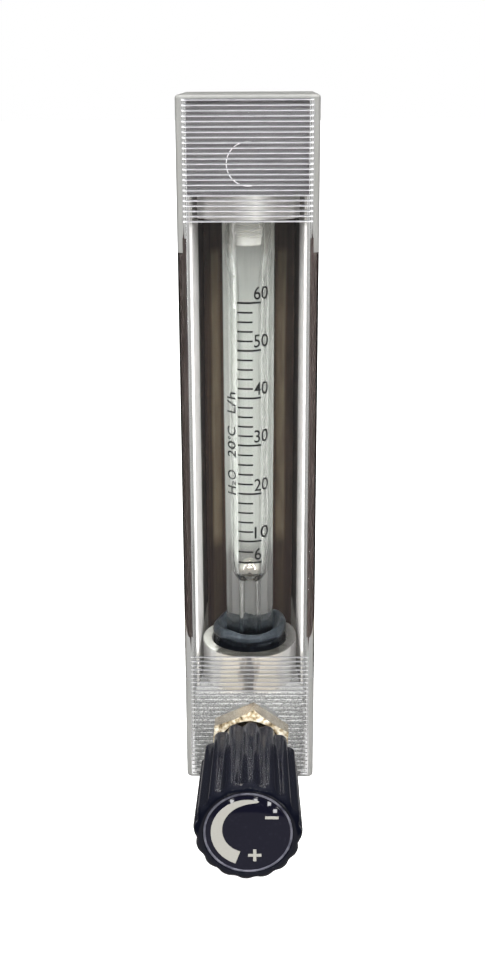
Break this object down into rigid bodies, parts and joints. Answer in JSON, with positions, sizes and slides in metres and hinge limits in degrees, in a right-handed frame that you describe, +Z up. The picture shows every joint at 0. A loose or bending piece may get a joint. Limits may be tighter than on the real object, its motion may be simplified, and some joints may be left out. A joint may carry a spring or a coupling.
{
  "type": "variable-area flowmeter",
  "caption": "Panel-mounted glass-tube water flowmeter: ball float in a tapered tube behind a ribbed clear cover, with a fluted needle-valve knob and rear hose tails.",
  "frame": {"origin": "centre of the housing's flat rear face, on the plane that lies against a panel, half way up and half way across", "axes": "+Z up along the glass tube; -Y out of the front, towards the reader and along the valve's spindle; +X to the reader's right"},
  "size_m": [0.028, 0.106, 0.1461],
  "materials": {
    "polished_steel": "polished, with vertical streaks",
    "clear_acrylic": "clear, glossy",
    "cast_aluminium": "cast skin, machined bosses",
    "tube_glass": "clear",
    "ball_steel": "mirror polished",
    "white_plastic": "satin, slightly translucent",
    "seal_rubber": "satin",
    "nickelled_brass": "bright nickel plate",
    "zinc_plate": "bright zinc",
    "knob_plastic": "glossy",
    "cap_plastic": "glossy, with a printed arc"
  },
  "bodies": {
    "housing": {"back_channel": "polished_steel", "front_cover": "clear_acrylic", "top_block": "cast_aluminium", "bottom_block": "cast_aluminium", "glass_tube": "tube_glass", "upper_float_stop": "white_plastic", "upper_tube_seal": "seal_rubber", "lower_tube_seal": "seal_rubber", "upper_connector": "nickelled_brass", "lower_connector": "nickelled_brass", "upper_connector_o_ring": "seal_rubber", "lower_connector_o_ring": "seal_rubber", "upper_panel_washer": "zinc_plate", "lower_panel_washer": "zinc_plate", "upper_panel_nut": "nickelled_brass", "lower_panel_nut": "nickelled_brass", "valve_bonnet": "nickelled_brass", "bonnet_washer": "zinc_plate", "bonnet_o_ring": "seal_rubber", "block_screw_upper_left": "zinc_plate", "block_screw_upper_right": "zinc_plate", "block_screw_lower_left": "zinc_plate", "block_screw_lower_right": "zinc_plate"},
    "float": {"ball_float": "ball_steel"},
    "spindle": {"valve_spindle": "nickelled_brass", "spindle_o_ring": "seal_rubber"},
    "knob_unit": {"knob": "knob_plastic", "knob_cap": "cap_plastic", "knob_screw": "zinc_plate"}
  },
  "joints": [
    {"name": "float_rise", "type": "slide", "parent": "housing", "child": "float", "axis": [0, 0, 1], "range_m": [0, 0.068]},
    {"name": "spindle_lift", "type": "slide", "parent": "housing", "child": "spindle", "axis": [0, -1, 0], "range_m": [0, 0.00275]},
    {"name": "knob_turn", "type": "hinge", "parent": "spindle", "child": "knob_unit", "pos_m": [0, -0.06, -0.0625], "axis": [0, -1, 0], "range_deg": [0, 1980]}
  ],
  "couplings": [
    {"joint": "knob_turn", "follows": "spindle_lift", "rad_per_m": 12566}
  ]
}
